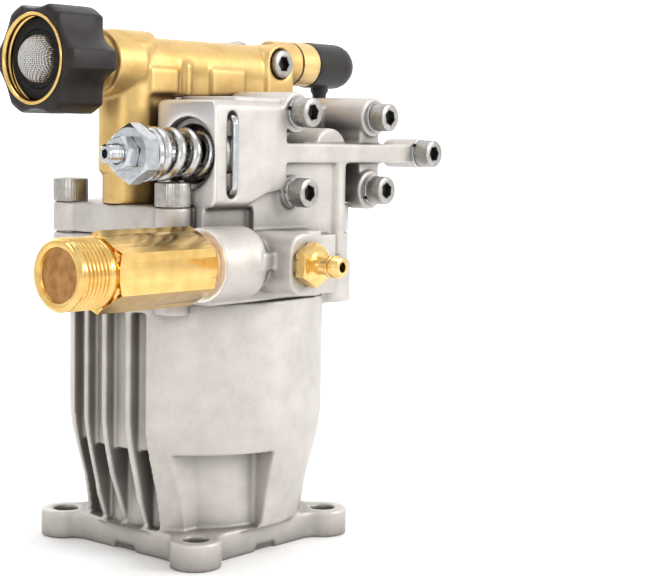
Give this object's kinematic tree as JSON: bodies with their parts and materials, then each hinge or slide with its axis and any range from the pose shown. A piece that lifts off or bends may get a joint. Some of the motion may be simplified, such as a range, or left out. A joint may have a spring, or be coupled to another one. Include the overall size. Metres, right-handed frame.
{
  "type": "pressure washer pump",
  "caption": "Axial-cam pressure washer pump: finned cast housing on a four-lug flange, brass inlet with swivel knob, spring unloader, threaded outlet and detergent barb.",
  "frame": {"origin": "centre of the mounting flange's face, on the shaft axis", "axes": "+Z along the shaft from the flange to the head, -X towards the hose side, -Y towards the cap screws"},
  "size_m": [0.1833, 0.1286, 0.1825],
  "materials": {
    "cast_aluminium": "die-cast, fine matt grain",
    "gold_casting": "matte gold anodised casting",
    "brass": "bright turned brass",
    "poppet_brass": "turned",
    "black_plastic": "satin moulded",
    "rubber": "matt",
    "bolt_steel": "grey coated cap screws",
    "zinc_plate": "bright zinc plate",
    "spring_steel": "drawn wire",
    "ground_steel": "ground",
    "dark_steel": "oiled",
    "screen_mesh": "woven stainless mesh"
  },
  "bodies": {
    "pump": {"housing": "cast_aluminium", "cylinder_block": "cast_aluminium", "pump_head": "cast_aluminium", "manifold_gasket": "rubber", "discharge_manifold": "cast_aluminium", "inlet_manifold": "gold_casting", "gallery_plugs": "zinc_plate", "shaft_oil_seal": "rubber", "bearing_outer_race": "ground_steel", "plunger_spring_1": "spring_steel", "plunger_spring_2": "spring_steel", "plunger_spring_3": "spring_steel", "plunger_oil_seals": "rubber", "plunger_water_seals": "rubber", "block_o_ring": "rubber", "head_bolts": "bolt_steel", "manifold_screws": "bolt_steel", "lock_washers": "zinc_plate", "inlet_manifold_screw": "bolt_steel", "suction_valve_seats": "ground_steel", "discharge_valve_seats": "ground_steel", "unloader_sleeve": "ground_steel", "unloader_spring": "spring_steel", "retaining_clip": "spring_steel", "outlet_fitting": "brass", "outlet_washer": "brass", "injector_venturi": "brass", "barb_fitting": "brass", "thermal_valve_body": "brass", "thermal_valve_cap": "black_plastic", "oil_plug": "black_plastic", "oil_plug_washer": "rubber"},
    "shaft": {"cam_shaft": "dark_steel", "bearing_inner_race": "ground_steel", "thrust_ball_ring": "ground_steel", "wobble_plate": "ground_steel"},
    "ball_set": {"bearing_balls": "ground_steel"},
    "knob": {"inlet_knob": "black_plastic", "inlet_insert": "brass", "inlet_screen": "screen_mesh", "inlet_washer": "rubber"},
    "stem": {"unloader_stem": "ground_steel", "unloader_collar": "zinc_plate"},
    "big_nut": {"adjusting_nut": "zinc_plate"},
    "small_nut": {"lock_nut": "zinc_plate"},
    "relief_piston": {"thermal_piston": "ground_steel"},
    "check_ball": {"injector_ball": "ground_steel"},
    "plunger_1": {"plunger_1": "ground_steel", "spring_seat_1": "dark_steel"},
    "suction_1": {"suction_poppet_1": "poppet_brass"},
    "discharge_1": {"discharge_poppet_1": "poppet_brass"},
    "plunger_2": {"plunger_2": "ground_steel", "spring_seat_2": "dark_steel"},
    "suction_2": {"suction_poppet_2": "poppet_brass"},
    "discharge_2": {"discharge_poppet_2": "poppet_brass"},
    "plunger_3": {"plunger_3": "ground_steel", "spring_seat_3": "dark_steel"},
    "suction_3": {"suction_poppet_3": "poppet_brass"},
    "discharge_3": {"discharge_poppet_3": "poppet_brass"}
  },
  "joints": [
    {"name": "shaft_spin", "type": "hinge", "parent": "pump", "child": "shaft", "pos_m": [0, 0, 0], "axis": [0, 0, 1], "continuous": true},
    {"name": "ball_orbit", "type": "hinge", "parent": "pump", "child": "ball_set", "pos_m": [0, 0, 0.0145], "axis": [0, 0, 1], "continuous": true},
    {"name": "knob_spin", "type": "hinge", "parent": "pump", "child": "knob", "pos_m": [-0.065, 0, 0.166], "axis": [1, 0, 0], "continuous": true},
    {"name": "unloader_slide", "type": "slide", "parent": "pump", "child": "stem", "axis": [1, 0, 0], "range_m": [0, 0.004], "stiffness_N_per_m": 20000, "springref_m": -0.003, "deforming": ["unloader_spring"]},
    {"name": "adjusting_turn", "type": "hinge", "parent": "stem", "child": "big_nut", "pos_m": [-0.0545, -0.025, 0.1366], "axis": [1, 0, 0], "continuous": true},
    {"name": "lock_turn", "type": "hinge", "parent": "stem", "child": "small_nut", "pos_m": [-0.0595, -0.025, 0.1366], "axis": [1, 0, 0], "continuous": true},
    {"name": "relief_slide", "type": "slide", "parent": "pump", "child": "relief_piston", "axis": [1, 0, 0], "range_m": [0, 0.001], "stiffness_N_per_m": 500},
    {"name": "check_slide", "type": "slide", "parent": "pump", "child": "check_ball", "axis": [0, 1, 0], "range_m": [0, 0.002]},
    {"name": "plunger_slide_1", "type": "slide", "parent": "pump", "child": "plunger_1", "axis": [0, 0, 1], "range_m": [0, 0.0077], "stiffness_N_per_m": 2000, "deforming": ["plunger_spring_1"]},
    {"name": "suction_lift_1", "type": "slide", "parent": "pump", "child": "suction_1", "axis": [0, 0, -1], "range_m": [0, 0.0015], "stiffness_N_per_m": 300},
    {"name": "discharge_lift_1", "type": "slide", "parent": "pump", "child": "discharge_1", "axis": [0, -1, 0], "range_m": [0, 0.0015], "stiffness_N_per_m": 300},
    {"name": "plunger_slide_2", "type": "slide", "parent": "pump", "child": "plunger_2", "axis": [0, 0, 1], "range_m": [0, 0.0077], "stiffness_N_per_m": 2000, "deforming": ["plunger_spring_2"]},
    {"name": "suction_lift_2", "type": "slide", "parent": "pump", "child": "suction_2", "axis": [0, 0, -1], "range_m": [0, 0.0015], "stiffness_N_per_m": 300},
    {"name": "discharge_lift_2", "type": "slide", "parent": "pump", "child": "discharge_2", "axis": [0, -1, 0], "range_m": [0, 0.0015], "stiffness_N_per_m": 300},
    {"name": "plunger_slide_3", "type": "slide", "parent": "pump", "child": "plunger_3", "axis": [0, 0, 1], "range_m": [0, 0.0077], "stiffness_N_per_m": 2000, "deforming": ["plunger_spring_3"]},
    {"name": "suction_lift_3", "type": "slide", "parent": "pump", "child": "suction_3", "axis": [0, 0, -1], "range_m": [0, 0.0015], "stiffness_N_per_m": 300},
    {"name": "discharge_lift_3", "type": "slide", "parent": "pump", "child": "discharge_3", "axis": [0, -1, 0], "range_m": [0, 0.0015], "stiffness_N_per_m": 300}
  ],
  "couplings": [
    {"joint": "ball_orbit", "follows": "shaft_spin", "ratio": 0.415}
  ]
}
